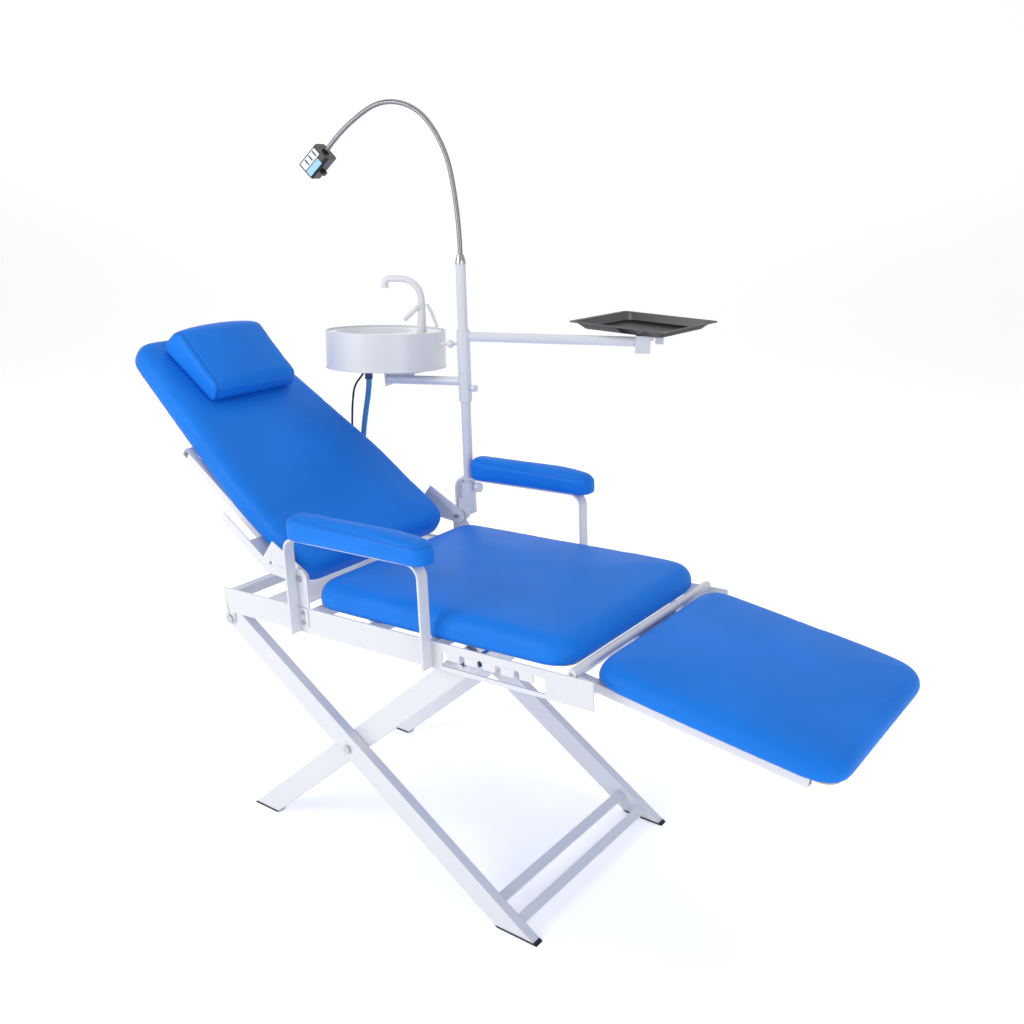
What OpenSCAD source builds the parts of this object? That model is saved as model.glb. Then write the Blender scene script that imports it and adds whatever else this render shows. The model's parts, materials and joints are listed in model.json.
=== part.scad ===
/* Folding dental chair: scissor-leg seat frame, reclining backrest, leg rest, armrests, and a pole that
   carries a lamp, an instrument tray and a rinsing basin. +X points to the foot end, +Z up, the patient's
   left is +Y. The origin is on the floor, under the middle of the whole chair. */

/* [Seat frame] */
// Outside width across the two side rails
frame_w = 500; // [480:1:520]
// Rise of the seat frame towards the foot end, in degrees
frame_tilt = 3.3; // [2.8:0.1:3.8]
// Height of the rails' upper rear corner
rail_z = 510; // [505:1:515]
// Length of a side rail
rail_len = 890; // [886:1:900]
// Height of a side rail
rail_h = 52; // [52:1:54]
// Thickness of a side rail
rail_t = 3.4; // [3:0.1:3.4]

/* [Scissor legs] */
// Height of the leg tube's section
leg_h = 45; // [40:1:46]
// Width of the leg tube's section
leg_w = 20; // [18:1:20]
// Wall of the leg tube
leg_wall = 1.5; // [1.2:0.1:2]
// Slope of the outer legs to the rails, in degrees
outer_slope = 35; // [34.8:0.1:35.2]
// Distance from the rear leg bolt to the crossing bolt
outer_reach = 373.4; // [372:0.2:375]
// Distance from the crossing bolt to the latch rod
inner_reach = 386.2; // [385:0.1:388]
// Thickness of the rubber foot caps
cap_t = 4; // [3:0.5:5]

/* [Upholstery] */
// Half width of the seat cushion
seat_half = 244; // [230:1:244]
// Thickness of the seat cushion
seat_thick = 52; // [40:1:56]
// Angle from the rails to the backrest, in degrees
back_angle = 36.3; // [34:0.1:37]
// Length of the backrest cushion
back_len = 700; // [680:1:705]
// Half width of the backrest at its hinge end
back_half_low = 220; // [206:1:222]
// Half width of the backrest at its head end
back_half_high = 163; // [150:1:175]
// Thickness of the backrest cushion
back_thick = 52; // [40:1:54]
// Slope of the leg rest below the rails, in degrees
legrest_slope = 10; // [9.4:0.1:10.4]
// Length of the leg rest cushion
legrest_len = 438; // [400:1:440]
// Half width of the leg rest cushion
legrest_half = 222; // [200:1:222]
// Thickness of the leg rest cushion
legrest_thick = 44; // [36:1:46]

/* [Armrests] */
// Width of the bent arm strip
strip_w = 25; // [22:1:26]
// Thickness of the bent arm strip
strip_t = 4.5; // [4:0.1:5]
// Length of an arm pad
pad_len = 338; // [320:1:344]
// Width of an arm pad
pad_w = 54; // [48:1:56]
// Thickness of an arm pad
pad_thick = 50; // [40:1:54]

/* [Pole and its arms] */
// Diameter of the pole
pole_d = 22; // [22:0.1:22]
// Height of the pole's top above the rails
pole_top = 623; // [600:1:640]
// Diameter of the swivel sleeves
sleeve_d = 29; // [28:0.5:31]
// Diameter of the arm tubes
arm_d = 20; // [18:1:21]
// Length of the tray arm
tray_arm_len = 372; // [350:1:380]
// Direction of the tray arm from +X, in degrees
tray_arm_turn = 28.8; // [25:0.1:32]
// Length of the basin arm to the basin's middle
basin_reach = 203; // [201:1:204]
// Radius of the basin
basin_r = 135; // [131:1:136]
// Height of the basin
basin_h = 83; // [78:1:86]
// Diameter of the lamp's flexible neck
neck_d = 11; // [9:0.5:12]

/* [Hidden] */
$fn = 48;

white = [0.90, 0.91, 0.93];
vinyl = [0.17, 0.44, 0.84];
steel = [0.72, 0.73, 0.75];
black = [0.06, 0.06, 0.07];
board = [0.72, 0.66, 0.52];

// Middle of the chair's own frame, seen from the origin
chair_x = -126;
chair_y = -176;
rail_x = -330;
half = frame_w / 2;
plate_in = half - rail_t;

// Rear leg bolt, crossing bolt and latch rod, in the rails' frame
pivot_u = 12;
pivot_w = -67;
bolt_r = 5;
running = 0.05;
cross_u = pivot_u + outer_reach * cos(outer_slope);
cross_w = pivot_w - outer_reach * sin(outer_slope);
latch_w = -36.5;
inner_slope = asin((latch_w - cross_w) / inner_reach);
latch_u = cross_u + inner_reach * cos(inner_slope);
outer_y = plate_in - 0.5;
inner_y = outer_y - leg_w - 1;

// Comb slot in each rail
slot_from = 575;
slot_to = 796;
slot_low = -43.5;
slot_top = -29.5;
notch_first = 582;
notch_step = 39;
notch_count = 5;
notch_top = -15;

// Ear and backrest hinge
ear_u = 229;
ear_w = 59;
ear_r = 19;
hinge_r = 4;

// Leg rest hinge
lr_u = 846.6;
lr_w = 3.3;
knuckle_from = -34;
knuckle_to = 108;
knuckle_r = 8;

// Pole, in the rails' frame
pole_u = 246;
pole_y = 263.7;
pole_lean = 0.64;
pole_foot = 78;
socket_top = 136;
basin_sleeve_low = 319.7;
sleeve_split = 384;
tray_sleeve_top = 476.6;
tray_arm_w = 461.8;
basin_arm_w = 363.5;
basin_turn = 187;
basin_droop = 4.65;
basin_out = 208;
basin_low = 12.4;
basin_pitch = 2.1;
basin_roll = 3.5;

// The lamp's neck: radius and turn of each arc, from the pole's top
neck_turn = 195;
neck_start = 1.7;
neck_arcs = [[901, 10.9], [235, 27.4], [112.6, 79.8], [377, 19.8]];

// Routes of the free hoses, from the middle of the chair's own frame
drain_route = [[-356, 231, 866], [-357, 231, 850], [-362, 231, 820], [-371, 232, 782], [-379, 233, 740],
    [-385, 234, 690], [-388, 235, 640], [-389, 236, 590], [-389, 237, 540], [-388, 238, 490],
    [-387, 239, 440], [-385, 240, 390], [-383, 241, 340], [-382, 242, 290], [-381, 243, 250]];
drain_d = 13;
supply_route = [[-369, 236, 903], [-370, 236, 890], [-378, 236, 876], [-390, 237, 863], [-403, 238, 849],
    [-412, 239, 832], [-417, 240, 812], [-420, 240, 790], [-422, 240, 760], [-423, 240, 720],
    [-424, 241, 680], [-424, 241, 640], [-423, 242, 600], [-421, 242, 560], [-419, 243, 520],
    [-417, 243, 480], [-415, 244, 440], [-413, 244, 400], [-412, 245, 360]];
supply_d = 5;

// ---- frames -------------------------------------------------------------------------------------------

module chair() translate([chair_x, chair_y, 0]) children();

// Along the rails (x), across (y) and square to the rails (z), from the rails' upper rear corner
module on_rail() chair() translate([rail_x, 0, rail_z]) rotate([0, -frame_tilt, 0]) children();

// Both sides: children once for the right side (-Y) and once for the left
module both_sides() {
    children();
    mirror([0, 1, 0]) children();
}

module on_outer_leg() on_rail() translate([pivot_u, 0, pivot_w]) rotate([0, outer_slope, 0]) children();

module on_inner_leg() on_rail() translate([cross_u, 0, cross_w]) rotate([0, -inner_slope, 0]) children();

// Backrest frame: -x runs up the back, z is square to it, out of the cushion
module on_back() on_rail() translate([ear_u, 0, ear_w]) rotate([0, back_angle, 0]) children();

module on_legrest() on_rail() translate([lr_u, 0, lr_w]) rotate([0, legrest_slope, 0]) children();

// Up the pole: x towards the foot end, z along the pole, from the rails' top level
module on_pole() on_rail() translate([pole_u, pole_y, 0]) rotate([0, pole_lean, 0]) children();

// A point on the pole's axis at height h above the rails, from the origin
function pole_point(h) = let (u = pole_u + h * sin(pole_lean), w = h * cos(pole_lean))
    [chair_x + rail_x + u * cos(frame_tilt) - w * sin(frame_tilt), chair_y + pole_y,
     rail_z + u * sin(frame_tilt) + w * cos(frame_tilt)];

module on_tray_arm() translate(pole_point(tray_arm_w)) rotate([0, 0, tray_arm_turn]) children();

module on_basin_arm() translate(pole_point(basin_arm_w)) rotate([0, basin_droop, basin_turn]) children();

// Basin frame: the middle of the drum's underside, +z up the drum, -x towards the pole
module on_basin() translate(pole_point(basin_arm_w)) rotate([0, 0, basin_turn])
    translate([basin_out, 0, basin_low]) rotate([basin_roll, basin_pitch, 0]) children();

module on_neck() translate(pole_point(pole_top)) rotate([0, 0, neck_turn]) children();

// ---- helpers ------------------------------------------------------------------------------------------

// Rounded rectangle from true circles
module round_rect(size, r) {
    translate([r, 0]) square([size[0] - 2 * r, size[1]]);
    translate([0, r]) square([size[0], size[1] - 2 * r]);
    for (x = [r, size[0] - r], y = [r, size[1] - r]) translate([x, y]) circle(r);
}

// Bar along x, centred on y and z, with a hollow inside
module hollow_bar(from, to, width, height, wall) {
    difference() {
        translate([from, -width / 2, -height / 2]) cube([to - from, width, height]);
        translate([from - 1, -width / 2 + wall, -height / 2 + wall])
            cube([to - from + 2, width - 2 * wall, height - 2 * wall]);
    }
}

// Tube across the chair, from y0 to y1
module cross_rod(y0, y1, r) translate([0, y1, 0]) rotate([90, 0, 0]) cylinder(r = r, h = y1 - y0);

// Round-headed bolt along +y: its head outside at y = 0, its shank inwards for len, and its nut
module bolt(len, r, head_r, nut = true) {
    rotate([-90, 0, 0]) cylinder(r = r, h = len);
    translate([0, -5, 0]) rotate([-90, 0, 0]) cylinder(r = head_r, h = 5);
    if (nut) translate([0, len, 0]) rotate([-90, 0, 0]) cylinder(r = head_r, h = 7);
}

// Outline on the x-z plane made into a plate from y0 to y1
module plate(y0, y1) translate([0, y1, 0]) rotate([90, 0, 0]) linear_extrude(y1 - y0) children();

// Tube swept along a route: rings of `sides` points, square to the route
function unit(v) = v / norm(v);
function heading(p, i) = unit(p[min(i + 1, len(p) - 1)] - p[max(i - 1, 0)]);
function ring(c, d, r, sides) = let (a = unit(cross(d, [0, 1, 0])), b = cross(d, a))
    [for (k = [0:sides - 1]) c + r * (a * cos(360 * k / sides) + b * sin(360 * k / sides))];
module hose(route, d, sides) {
    n = len(route);
    points = [for (i = [0:n - 1]) each ring(route[i], heading(route, i), d / 2, sides)];
    walls = [for (i = [0:n - 2], k = [0:sides - 1])
        let (a = i * sides + k, b = i * sides + (k + 1) % sides) [a, b, b + sides, a + sides]];
    ends = [[for (k = [sides - 1:-1:0]) k], [for (k = [0:sides - 1]) (n - 1) * sides + k]];
    polyhedron(points, concat(walls, ends));
}

// Thumb screw along -y from the sleeve: shank, ball and cross bar
module thumb_screw(reach, ball_r) {
    rotate([90, 0, 0]) cylinder(r = 3, h = reach);
    translate([0, -reach, 0]) sphere(ball_r);
    translate([0, -reach - ball_r * 0.4, 0]) rotate([90, 0, 0]) cylinder(r = 3.2, h = ball_r + 8);
}

// ---- seat frame ---------------------------------------------------------------------------------------

module rail_outline() {
    difference() {
        union() {
            translate([0, -rail_h]) square([rail_len, rail_h]);
            translate([0, pivot_w]) square([2 * pivot_u, -pivot_w - rail_h + 1]);
            translate([pivot_u, pivot_w]) circle(pivot_u);
            translate([ear_u - ear_r, -1]) square([2 * ear_r, ear_w + 1]);
            translate([ear_u, ear_w]) circle(ear_r);
        }
        translate([pivot_u, pivot_w]) circle(bolt_r);
        translate([ear_u, ear_w]) circle(hinge_r);
        translate([slot_from, slot_low]) square([slot_to - slot_from, slot_top - slot_low]);
        for (i = [0:notch_count - 1]) translate([notch_first + i * notch_step, 0]) {
            translate([-6, slot_top - 1]) square([12, notch_top - slot_top - 5]);
            translate([0, notch_top - 6]) circle(6);
        }
        translate([slot_to - 24, slot_top - 1]) square([24, notch_top - slot_top + 1]);
    }
}

module rail_right() color(white) on_rail() plate(-half, -plate_in) rail_outline();

module rail_left() color(white) on_rail() plate(plate_in, half) rail_outline();

tube = 20;
tube_wall = 1.5;
cross_at = [30, 262, 410, 553];

module cross_tube(u, w) translate([u, 0, w]) rotate([0, 0, 90])
    hollow_bar(-plate_in, plate_in, tube, tube, tube_wall);

stop_u = 821.4;
stop_w = -24.5;

module seat_cross_members() color(white) on_rail() {
    for (u = cross_at) cross_tube(u, -tube / 2);
    translate([stop_u, 0, stop_w]) cross_rod(-plate_in, plate_in, 6);
}

module rear_cover_plate() color(white) on_rail() translate([121, -plate_in, -7]) cube([90, 2 * plate_in, 3]);

board_t = 8;
seat_from = 245;
seat_to = 836;

module seat_board() color(board) on_rail() translate([seat_from + 8, -225, 0])
    linear_extrude(board_t) round_rect([seat_to - seat_from - 16, 450], 30);

module seat_cushion() color(vinyl) on_rail() translate([seat_from, -seat_half, board_t])
    linear_extrude(seat_thick) round_rect([seat_to - seat_from, 2 * seat_half], 38);

// ---- armrests -----------------------------------------------------------------------------------------

strip_rear = 217;
strip_front = 553.5;
strip_low = -50;
strip_top = 148;
strip_bend = 28;
tab_w = 24;
tab_h = 40;
tab_t = 2.5;
tab_screws = [-9, -30];

// Inverted U of the arm strip, as a flat outline with round bends
module strip_outline() {
    post = strip_top - strip_bend - strip_low;
    translate([strip_rear, strip_low]) square([strip_t, post]);
    translate([strip_front - strip_t, strip_low]) square([strip_t, post]);
    translate([strip_rear + strip_bend, strip_top - strip_t])
        square([strip_front - strip_rear - 2 * strip_bend, strip_t]);
    for (end = [0, 1]) translate([end ? strip_front - strip_bend : strip_rear + strip_bend,
            strip_top - strip_bend]) intersection() {
        difference() {
            circle(strip_bend);
            circle(strip_bend - strip_t);
        }
        translate([end ? 0 : -strip_bend, 0]) square(strip_bend);
    }
}

module arm_bracket() {
    plate(-half - strip_w, -half) strip_outline();
    difference() {
        translate([strip_rear + strip_t - 0.5, -half - tab_t, -tab_h]) cube([tab_w, tab_t, tab_h]);
        for (w = tab_screws) translate([strip_rear + strip_t + 12, -half + 1, w]) rotate([90, 0, 0])
            cylinder(r = 2.5, h = tab_t + 2);
    }
}

module arm_bracket_right() color(white) on_rail() arm_bracket();

eye_r = 17;
eye_u = 248;
eye_y = 263.7;

// The left strip has an eye at its rear end, which steadies the pole
module arm_bracket_left() color(white) difference() {
    on_rail() {
        mirror([0, 1, 0]) arm_bracket();
        translate([eye_u, eye_y, strip_top - strip_t]) cylinder(r = eye_r, h = strip_t);
    }
    on_pole() translate([0, 0, strip_top - 30]) cylinder(r = pole_d / 2 + 0.3, h = 60);
}

pad_rear = 236;
pad_y = half + strip_w / 2 + 1;

module arm_pad(cut = 0) translate([pad_rear + cut, -pad_y - pad_w / 2, strip_top])
    linear_extrude(pad_thick) round_rect([pad_len - cut, pad_w], pad_w / 2 - 4);

module arm_pad_right() color(vinyl) on_rail() arm_pad();

module arm_pad_left() color(vinyl) on_rail() mirror([0, 1, 0]) arm_pad(27);

module arm_screws() color(steel) on_rail() both_sides() for (w = tab_screws)
    translate([strip_rear + strip_t + 12, -half - tab_t, w]) {
        rotate([-90, 0, 0]) cylinder(r = 2.5, h = tab_t);
        translate([0, -2.5, 0]) rotate([-90, 0, 0]) cylinder(r = 4.5, h = 2.5);
    }

// ---- hinges of the seat frame -------------------------------------------------------------------------

module backrest_hinge_pins() color(steel) on_rail() both_sides() translate([ear_u, -half, ear_w]) {
    rotate([-90, 0, 0]) cylinder(r = hinge_r, h = 16);
    translate([0, -3, 0]) rotate([-90, 0, 0]) cylinder(r = 6.4, h = 3);
}

module leg_hinge_bolts() color(steel) on_rail() both_sides() translate([pivot_u, -half, pivot_w])
    bolt(half - outer_y + leg_w + 0.5, bolt_r, 8.5);

module legrest_hinge_tubes() color(white) on_rail() translate([lr_u, 0, lr_w]) difference() {
    union() {
        cross_rod(-plate_in, knuckle_from - 0.5, knuckle_r);
        cross_rod(knuckle_to + 0.5, plate_in, knuckle_r);
    }
    cross_rod(-half, half, hinge_r);
}

module legrest_hinge_pin() color(steel) on_rail() translate([lr_u, 0, lr_w])
    cross_rod(-plate_in + 2, plate_in - 2, hinge_r);

socket_r = 16;
socket_gap = 0.2;

// Socket for the pole, wrapped round it and welded to the left rail's ear
module pole_socket() color(white) on_pole() difference() {
    union() {
        translate([0, 0, pole_foot - 14]) cylinder(r = socket_r, h = socket_top - pole_foot + 14);
        translate([-21, half - pole_y, pole_foot - 40]) cube([29, 4, 60]);
    }
    translate([ear_u - pole_u, 0, ear_w]) cross_rod(half - pole_y - 1, half - pole_y + 12, 8);
    translate([0, 0, pole_foot]) cylinder(d = pole_d + 2 * running, h = 100);
    translate([18, 0, pole_foot - 30]) rotate([0, 45, 0]) cube([30, 60, 30], center = true);
    translate([-60, half - pole_y - 60, 0]) cube([120, 60, 200]);
}

// ---- legs ---------------------------------------------------------------------------------------------

leg_top = -18;
far_end = 990;
outer_rise = 5.5;
inner_rise = 3.5;

// Everything above (or below) the height z, as a block round the legs
module slab(z0, z1) translate([-1500, -1500, z0]) cube([3000, 3000, z1 - z0]);

module outer_leg(side) intersection() {
    on_outer_leg() translate([0, side * (outer_y - leg_w / 2), 0]) difference() {
        translate([0, 0, outer_rise]) hollow_bar(leg_top, far_end, leg_w, leg_h, leg_wall);
        for (x = [0, outer_reach]) translate([x, 0, 0])
            cross_rod(-leg_w, leg_w, bolt_r + (x == 0 ? running : 0));
    }
    slab(cap_t, 1000);
}

module outer_leg_right() color(white) outer_leg(-1);

module outer_leg_left() color(white) outer_leg(1);

module inner_leg(side) intersection() {
    on_inner_leg() translate([0, side * (inner_y - leg_w / 2), 0]) difference() {
        translate([0, 0, inner_rise]) hollow_bar(-500, inner_reach + 15, leg_w, leg_h, leg_wall);
        cross_rod(-leg_w, leg_w, bolt_r + running);
        translate([inner_reach, 0, 0]) cross_rod(-leg_w, leg_w, bolt_r);
    }
    slab(cap_t, 1000);
}

module inner_leg_right() color(white) inner_leg(-1);

module inner_leg_left() color(white) inner_leg(1);

cap_rim = 0.8;

module front_foot_caps() color(black) intersection() {
    on_outer_leg() for (side = [-1, 1]) translate([700, side * (outer_y - leg_w / 2) - leg_w / 2 - cap_rim,
        outer_rise - leg_h / 2 - cap_rim]) cube([far_end - 650, leg_w + 2 * cap_rim, leg_h + 2 * cap_rim]);
    slab(0, cap_t);
}

module rear_foot_caps() color(black) intersection() {
    on_inner_leg() for (side = [-1, 1]) translate([-500, side * (inner_y - leg_w / 2) - leg_w / 2 - cap_rim,
        inner_rise - leg_h / 2 - cap_rim]) cube([300, leg_w + 2 * cap_rim, leg_h + 2 * cap_rim]);
    slab(0, cap_t);
}

crossbar_at = [[783, 6], [836, 17.5]];

module front_crossbars() color(white) on_outer_leg() for (at = crossbar_at)
    translate([at[0], 0, at[1]]) rotate([0, 0, 90])
        hollow_bar(-outer_y + leg_w, outer_y - leg_w, 20, 18, leg_wall);

module crossing_bolts() color(steel) on_rail() both_sides() translate([cross_u, -outer_y, cross_w])
    bolt(outer_y - inner_y + leg_w + 0.5, bolt_r - 0.01, 8);

module latch_rod() color(steel) on_rail() translate([latch_u, 0, latch_w])
    cross_rod(-half + 1, half - 1, bolt_r - 0.01);

// ---- backrest -----------------------------------------------------------------------------------------

back_top = 13;
back_bottom = back_top - back_thick;
frame_bar = 16;

// Tapered outline of the backrest with round corners, from s = from to s = to, inset all round
module back_outline(from, to, inset, r) {
    low = back_half_low - inset;
    high = back_half_high - inset;
    hull() for (y = [-1, 1]) {
        translate([-from - inset - r, y * (low - r)]) circle(r, $fn = 32);
        translate([-to * 0.35, y * (low - 4 - r)]) circle(r, $fn = 32);
        translate([-to + inset + r, y * (high - r)]) circle(r, $fn = 32);
    }
}

module backrest_cushion() color(vinyl) on_back() translate([0, 0, back_bottom])
    linear_extrude(back_thick) back_outline(0, back_len, 0, 40);

module backrest_board() color(board) on_back() translate([0, 0, back_bottom - board_t])
    linear_extrude(board_t) back_outline(0, back_len, 12, 30);

bar_y = 196;
bar_top = back_bottom - board_t;

module backrest_frame() color(white) on_back() {
    for (side = [-1, 1]) translate([0, side * bar_y, bar_top - frame_bar / 2])
        hollow_bar(-400, -24, frame_bar, frame_bar, tube_wall);
    for (s = [60, 220, 408]) {
        end = bar_y + (s < 400 ? -frame_bar / 2 : frame_bar / 2);
        translate([-s, 0, bar_top - frame_bar / 2]) rotate([0, 0, 90])
            hollow_bar(-end, end, frame_bar, frame_bar, tube_wall);
    }
}

bracket_out = 243.5;
bracket_t = 3;
lug_s = 78;
lug_n = -38;

// Side plate: pivots on the ear, hangs down to the lug, and carries the frame's side bar on two spacers
module backrest_bracket() difference() {
    union() {
        plate(-bracket_out, -bracket_out + bracket_t) {
            circle(17);
            translate([-lug_s, lug_n]) circle(22);
            polygon([[0, 17], [10, -13], [-lug_s + 10, lug_n - 20], [-lug_s - 22, lug_n], [-lug_s - 20, 4]]);
            translate([-230, bar_top - frame_bar]) square([150, 20]);
        }
        translate([-150, -bracket_out + bracket_t, bar_top - frame_bar])
            cube([60, bracket_out - bracket_t - bar_y - frame_bar / 2, frame_bar]);
    }
    translate([0, -bracket_out - 1, 0]) rotate([-90, 0, 0]) cylinder(r = hinge_r + running, h = bracket_t + 2);
    translate([-lug_s, -bracket_out - 1, lug_n]) rotate([-90, 0, 0]) cylinder(r = 4, h = bracket_t + 2);
}

module backrest_bracket_right() color(white) on_back() backrest_bracket();

module backrest_bracket_left() color(white) on_back() mirror([0, 1, 0]) backrest_bracket();

pillow_from = 466;
pillow_to = 652;
pillow_half = 116;
pillow_front = 46;
pillow_back = 66;

// Wedge-shaped head pillow, thickest near the head end
module head_pillow() color(vinyl) on_back() translate([0, 0, back_top + 0.05])
    plate(-pillow_half, pillow_half) hull() {
        translate([-pillow_from - 12, 12]) circle(12, $fn = 32);
        translate([-pillow_from - 22, pillow_front - 18]) circle(18, $fn = 32);
        translate([-pillow_to + 34, pillow_back - 26]) circle(26, $fn = 32);
        translate([-pillow_to + 14, 14]) circle(14, $fn = 32);
    }

// ---- leg rest -----------------------------------------------------------------------------------------

lr_top = 26;
lr_bottom = lr_top - legrest_thick;
lr_gap = 12;
lr_board_t = 5;
lr_board_low = lr_bottom - lr_board_t;
lr_bar = 16;
lr_bar_y = 198;
lr_bar_end = 400;

module legrest_cushion() color(vinyl) on_legrest() translate([lr_gap, -legrest_half, lr_bottom])
    linear_extrude(legrest_thick) round_rect([legrest_len, 2 * legrest_half], 45);

module legrest_board() color(board) on_legrest() translate([lr_gap + 12, -legrest_half + 16, lr_board_low])
    linear_extrude(lr_board_t) round_rect([legrest_len - 24, 2 * legrest_half - 32], 30);

// The stop rod, seen from the leg rest at rest, bears on the toes
stop_n = (stop_u - lr_u) * sin(legrest_slope) + (stop_w - lr_w) * cos(legrest_slope);
toe_top = stop_n - 6 - 0.05;

// Side bars with a toe plate under the stop rod, two cross tubes, and the middle knuckle on its web
module legrest_frame() color(white) on_legrest() {
    difference() {
        union() {
            for (side = [-1, 1]) {
                translate([0, side * lr_bar_y, lr_board_low - lr_bar / 2])
                    hollow_bar(-8, lr_bar_end, lr_bar, lr_bar, tube_wall);
                translate([-32, side * lr_bar_y - lr_bar / 2, toe_top - 4]) cube([60, lr_bar, 4]);
            }
            for (x = [28, 330]) translate([x, 0, lr_board_low - lr_bar / 2]) rotate([0, 0, 90])
                hollow_bar(-lr_bar_y + lr_bar / 2, lr_bar_y - lr_bar / 2, lr_bar, lr_bar, tube_wall);
            cross_rod(knuckle_from, knuckle_to, knuckle_r);
            translate([0, knuckle_to, 0]) rotate([90, 0, 0]) linear_extrude(knuckle_to - knuckle_from)
                polygon([[-4, -2], [4, -2], [9.5, lr_bottom + 6], [9.5, lr_board_low - 1.5],
                    [20.5, lr_board_low - 1.5], [20.5, lr_board_low - 7], [3, lr_board_low - 7]]);
        }
        cross_rod(-half, half, hinge_r + running);
    }
}

// ---- pole and lamp ------------------------------------------------------------------------------------

module pole() color(white) on_pole() translate([0, 0, pole_foot + socket_gap]) difference() {
    cylinder(d = pole_d, h = pole_top - pole_foot - 8);
    translate([0, 0, -1]) cylinder(d = pole_d - 3, h = pole_top - pole_foot - 20);
}

module pole_ferrule() color(black) on_pole() translate([0, 0, pole_top - 8 + socket_gap]) difference() {
    union() {
        cylinder(d = pole_d + 1, h = 6);
        translate([0, 0, 6]) cylinder(d1 = pole_d + 1, d2 = neck_d + 4, h = 14);
    }
    translate([0, 0, 7.8]) cylinder(d = neck_d + 1.5, h = 20);
}

module socket_knob() color(black) on_pole() translate([socket_r + 0.3, 0, socket_top - 10])
    rotate([0, 0, 90]) {
        translate([0, 0, 0]) rotate([90, 0, 0]) cylinder(r = 4, h = 6);
        translate([0, -6, 0]) rotate([90, 0, 0]) cylinder(r = 11, h = 10);
    }

// Start point and heading of arc i of the neck, as [x, z, angle from upright]
function neck_at(i) = i == 0 ? [0, 8, neck_start] : let (p = neck_at(i - 1), a = neck_arcs[i - 1])
    [p[0] + a[0] * (cos(p[2]) - cos(p[2] + a[1])), p[1] + a[0] * (sin(p[2] + a[1]) - sin(p[2])), p[2] + a[1]];

// Points along the neck, `per` to each arc, in the upright plane it bends in
per = 14;
function neck_point(i, k) = let (p = neck_at(i), a = neck_arcs[i], t = p[2] + a[1] * k / per)
    [p[0] + a[0] * (cos(p[2]) - cos(t)), 0, p[1] + a[0] * (sin(t) - sin(p[2]))];
neck_route = concat([for (i = [0:3], k = [0:per - 1]) neck_point(i, k)], [neck_point(3, per)]);

module gooseneck() color(steel) on_neck() hose(neck_route, neck_d, 16);

neck_end = neck_at(len(neck_arcs));
lamp_len = 63;
lamp_w = 44;
lamp_pitch = 45;

// Lamp: z points along the beam, from the end of the neck
module on_lamp() on_neck() translate([neck_end[0], 0, neck_end[1]]) rotate([0, 180 - lamp_pitch, 0]) children();

module lamp_housing() color(black) on_lamp() {
    translate([0, 0, 0.5]) cylinder(r = 8, h = 5);
    translate([-lamp_w / 2, -lamp_w / 2, 4]) linear_extrude(lamp_len - 4) difference() {
        round_rect([lamp_w, lamp_w], 8);
        translate([3, 3]) round_rect([lamp_w - 6, lamp_w - 6], 6);
    }
    translate([-lamp_w / 2, -lamp_w / 2, 4]) linear_extrude(4) round_rect([lamp_w, lamp_w], 8);
}

module lamp_lens() color([0.7, 0.85, 0.95, 0.6]) on_lamp() translate([-lamp_w / 2 + 3.2, -lamp_w / 2 + 3.2,
    lamp_len - 8]) linear_extrude(5) round_rect([lamp_w - 6.4, lamp_w - 6.4], 5.5);

module lamp_knob() color(black) on_lamp() translate([lamp_w / 2 + 0.3, 0, 40]) rotate([0, 90, 0])
    cylinder(r = 6, h = 9);

// ---- tray ---------------------------------------------------------------------------------------------

module sleeve(from, to) on_pole() translate([0, 0, from]) difference() {
    cylinder(d = sleeve_d, h = to - from);
    translate([0, 0, -1]) cylinder(d = pole_d + 2 * running, h = to - from + 2);
}

module tray_arm() color(white) difference() {
    union() {
        sleeve(sleeve_split + 0.2, tray_sleeve_top);
        on_tray_arm() translate([sleeve_d / 2 - 3, 0, 0]) rotate([0, 90, 0])
            cylinder(d = arm_d + 1, h = tray_arm_len - sleeve_d / 2 + 3);
    }
    on_pole() translate([0, 0, sleeve_split - 5]) cylinder(d = pole_d + 2 * running, h = 120);
    on_tray_arm() translate([sleeve_d / 2 + 2, 0, 0]) rotate([0, 90, 0])
        cylinder(d = arm_d - 2, h = tray_arm_len);
}

tray_pin_r = 5;
tray_pin_x = 34;
tray_plate = 14;

// Channel on the arm's end: end plate, near cheek, web under the tray, and a small far lip
module tray_bracket() color(white) on_tray_arm() translate([tray_arm_len, 0, 0]) difference() {
    union() {
        translate([0, -14, -23]) cube([3, 28, 23 + tray_plate]);
        translate([0, -14, tray_plate - 3]) cube([60, 28, 3]);
        translate([0, -14, -23]) cube([32, 3, 23 + tray_plate]);
        translate([42, 11, -6]) cube([18, 3, 6 + tray_plate]);
    }
    translate([tray_pin_x, 0, 0]) cylinder(r = tray_pin_r + running, h = 40);
}

tray_x = 195;
tray_y = 521;
tray_yaw = -2.9;
tray_len = 248;
tray_wide = 232;
tray_rim = 1018;
tray_deep = 16;

module on_tray() chair() translate([tray_x, tray_y, tray_rim]) rotate([0, 0, tray_yaw]) children();

// Holder that turns in the bracket: pin, disc and the flat bar under the tray
module tray_holder() color(white) {
    on_tray_arm() translate([tray_arm_len + tray_pin_x, 0, 0]) {
        translate([0, 0, tray_plate - 10]) cylinder(r = tray_pin_r, h = 10.5);
        translate([0, 0, tray_plate + 0.2]) cylinder(r = 13, h = 1.8);
    }
    translate([chair_x, chair_y, pole_point(tray_arm_w)[2] + tray_plate + 0.2]) {
        hull() {
            translate([221, 460, 0]) cylinder(r = 13, h = 1.8);
            translate([tray_x, tray_y + 20, 0]) cylinder(r = 13, h = 1.8);
        }
    }
}

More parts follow.
